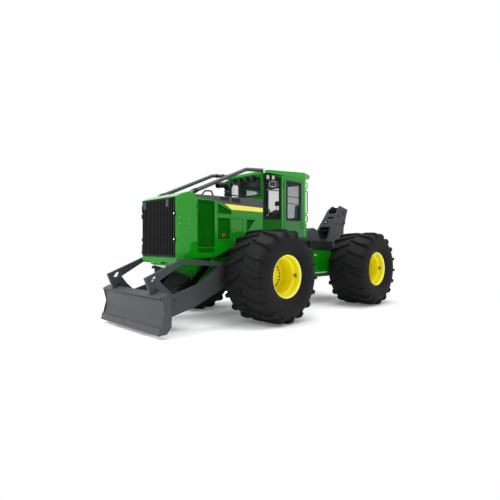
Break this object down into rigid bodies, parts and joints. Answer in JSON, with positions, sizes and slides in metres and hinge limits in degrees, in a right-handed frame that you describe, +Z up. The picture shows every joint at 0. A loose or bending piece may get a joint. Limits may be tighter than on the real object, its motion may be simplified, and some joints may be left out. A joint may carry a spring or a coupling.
{
  "type": "cable skidder",
  "caption": "Articulated four-wheel forestry skidder with stacking blade, guarded cab, rear winch and leaning fairlead arch.",
  "frame": {"origin": "on the ground, under the middle of the whole machine's bounding box", "axes": "+Z up, the front faces -Y, +X is the machine's left side"},
  "size_m": [3.61, 7.17, 3.29],
  "materials": {
    "green": "gloss green paint",
    "yellow": "gloss yellow paint",
    "frame_grey": "satin grey paint",
    "dark_grey": "textured dark grey",
    "black": "matt black",
    "engine_grey": "cast block",
    "steel": "bright ground steel",
    "tyre": "matt rubber",
    "seat": "woven fabric",
    "glass": "tinted glass"
  },
  "bodies": {
    "front_frame": {"front_chassis": "green", "hood_mounts": "green", "pivot_lugs_front": "green", "arm_pivots": "green", "lift_anchors": "green", "steer_anchors": "green", "cab_back_box": "green", "cab_steps": "frame_grey", "handrails": "green", "work_lights": "black", "tow_plate": "green", "front_axle": "green", "engine_block": "engine_grey", "hood_shell": "green", "hood_deck": "dark_grey", "exhaust_stack": "black", "cab_floor": "green", "cab_shell": "green", "cab_glass": "glass", "cab_roof": "green", "cab_seat": "seat", "cab_consoles": "black", "brush_guards": "frame_grey"},
    "grille": {"grille_door": "black"},
    "blade": {"blade_board": "frame_grey", "blade_frame": "frame_grey"},
    "rear_frame": {"rear_chassis": "green", "rear_deck": "frame_grey", "pivot_lugs_rear": "green", "rear_axle": "green", "winch_housing": "frame_grey", "fairlead_arch": "frame_grey", "butt_plate": "frame_grey", "drawbar": "frame_grey"},
    "winch_drum": {"winch_drum": "steel"},
    "roller_level": {"fairlead_roller_level": "steel"},
    "screen_left": {"screen_door_left": "green"},
    "door_left": {"cab_door_left": "green", "door_glass_left": "glass"},
    "lift_barrel_left": {"lift_barrel_left": "frame_grey"},
    "lift_rod_left": {"lift_rod_left": "steel"},
    "steer_barrel_left": {"steer_barrel_left": "frame_grey"},
    "steer_rod_left": {"steer_rod_left": "steel"},
    "roller_upright_left": {"fairlead_roller_upright_left": "steel"},
    "wheel_front_left": {"rim_front_left": "yellow", "tyre_front_left": "tyre"},
    "wheel_rear_left": {"rim_rear_left": "yellow", "tyre_rear_left": "tyre"},
    "screen_right": {"screen_door_right": "green"},
    "door_right": {"cab_door_right": "green", "door_glass_right": "glass"},
    "lift_barrel_right": {"lift_barrel_right": "frame_grey"},
    "lift_rod_right": {"lift_rod_right": "steel"},
    "steer_barrel_right": {"steer_barrel_right": "frame_grey"},
    "steer_rod_right": {"steer_rod_right": "steel"},
    "roller_upright_right": {"fairlead_roller_upright_right": "steel"},
    "wheel_front_right": {"rim_front_right": "yellow", "tyre_front_right": "tyre"},
    "wheel_rear_right": {"rim_rear_right": "yellow", "tyre_rear_right": "tyre"}
  },
  "joints": [
    {"name": "blade_lift", "type": "hinge", "parent": "front_frame", "child": "blade", "pos_m": [0, -1.595, 0.93], "axis": [1, 0, 0], "range_deg": [-28, 8]},
    {"name": "centre_steer", "type": "hinge", "parent": "front_frame", "child": "rear_frame", "pos_m": [0, 0.6675, 1.09], "axis": [0, 0, 1], "range_deg": [-45, 45]},
    {"name": "grille_swing", "type": "hinge", "parent": "front_frame", "child": "grille", "pos_m": [-0.575, -2.898, 1.87], "axis": [0, 0, -1], "range_deg": [0, 110]},
    {"name": "winch_turn", "type": "hinge", "parent": "rear_frame", "child": "winch_drum", "pos_m": [0, 1.555, 1.76], "axis": [1, 0, 0], "continuous": true},
    {"name": "roller_level_turn", "type": "hinge", "parent": "rear_frame", "child": "roller_level", "pos_m": [0, 3.29, 2.2], "axis": [1, 0, 0], "continuous": true},
    {"name": "screen_left_swing", "type": "hinge", "parent": "front_frame", "child": "screen_left", "pos_m": [0.611, -2.407, 1.9], "axis": [0, 0, -1], "range_deg": [0, 100]},
    {"name": "door_left_swing", "type": "hinge", "parent": "front_frame", "child": "door_left", "pos_m": [0.716, -0.035, 2.37], "axis": [0, 0, -1], "range_deg": [0, 90]},
    {"name": "lift_left_tilt", "type": "hinge", "parent": "front_frame", "child": "lift_barrel_left", "pos_m": [0.53, -2.045, 1.22], "axis": [1, 0, 0], "range_deg": [-34.88, 10.68]},
    {"name": "lift_left_stroke", "type": "slide", "parent": "lift_barrel_left", "child": "lift_rod_left", "axis": [0, -0.7311, -0.6823], "range_m": [-0.23224, 0.06993]},
    {"name": "steer_left_turn", "type": "hinge", "parent": "front_frame", "child": "steer_barrel_left", "pos_m": [0.59, -0.195, 1.08], "axis": [0, 0, 1], "range_deg": [-6.85, 6.85]},
    {"name": "steer_left_stroke", "type": "slide", "parent": "steer_barrel_left", "child": "steer_rod_left", "axis": [-0.2549, 0.967, 0], "range_m": [-0.26811, 0.26811]},
    {"name": "roller_upright_left_turn", "type": "hinge", "parent": "rear_frame", "child": "roller_upright_left", "pos_m": [0.072, 3.345, 2.41], "axis": [0, 0, 1], "continuous": true},
    {"name": "wheel_front_left_roll", "type": "hinge", "parent": "front_frame", "child": "wheel_front_left", "pos_m": [1.285, -1.095, 0.93], "axis": [1, 0, 0], "continuous": true},
    {"name": "wheel_rear_left_roll", "type": "hinge", "parent": "rear_frame", "child": "wheel_rear_left", "pos_m": [1.285, 2.43, 0.93], "axis": [1, 0, 0], "continuous": true},
    {"name": "screen_right_swing", "type": "hinge", "parent": "front_frame", "child": "screen_right", "pos_m": [-0.611, -2.407, 1.9], "axis": [0, 0, 1], "range_deg": [0, 100]},
    {"name": "door_right_swing", "type": "hinge", "parent": "front_frame", "child": "door_right", "pos_m": [-0.716, -0.035, 2.37], "axis": [0, 0, 1], "range_deg": [0, 90]},
    {"name": "lift_right_tilt", "type": "hinge", "parent": "front_frame", "child": "lift_barrel_right", "pos_m": [-0.53, -2.045, 1.22], "axis": [1, 0, 0], "range_deg": [-34.88, 10.68]},
    {"name": "lift_right_stroke", "type": "slide", "parent": "lift_barrel_right", "child": "lift_rod_right", "axis": [0, -0.7311, -0.6823], "range_m": [-0.23224, 0.06993]},
    {"name": "steer_right_turn", "type": "hinge", "parent": "front_frame", "child": "steer_barrel_right", "pos_m": [-0.59, -0.195, 1.08], "axis": [0, 0, 1], "range_deg": [-6.85, 6.85]},
    {"name": "steer_right_stroke", "type": "slide", "parent": "steer_barrel_right", "child": "steer_rod_right", "axis": [0.2549, 0.967, 0], "range_m": [-0.26811, 0.26811]},
    {"name": "roller_upright_right_turn", "type": "hinge", "parent": "rear_frame", "child": "roller_upright_right", "pos_m": [-0.072, 3.345, 2.41], "axis": [0, 0, 1], "continuous": true},
    {"name": "wheel_front_right_roll", "type": "hinge", "parent": "front_frame", "child": "wheel_front_right", "pos_m": [-1.285, -1.095, 0.93], "axis": [1, 0, 0], "continuous": true},
    {"name": "wheel_rear_right_roll", "type": "hinge", "parent": "rear_frame", "child": "wheel_rear_right", "pos_m": [-1.285, 2.43, 0.93], "axis": [1, 0, 0], "continuous": true}
  ],
  "couplings": [
    {"joint": "lift_left_tilt", "follows": "blade_lift", "ratio": 1.21},
    {"joint": "lift_left_stroke", "follows": "blade_lift", "m_per_rad": 0.465},
    {"joint": "steer_left_turn", "follows": "centre_steer", "ratio": 0.13},
    {"joint": "steer_left_stroke", "follows": "centre_steer", "m_per_rad": 0.335},
    {"joint": "lift_right_tilt", "follows": "blade_lift", "ratio": 1.21},
    {"joint": "lift_right_stroke", "follows": "blade_lift", "m_per_rad": 0.465},
    {"joint": "steer_right_turn", "follows": "centre_steer", "ratio": 0.13},
    {"joint": "steer_right_stroke", "follows": "centre_steer", "m_per_rad": -0.335}
  ]
}
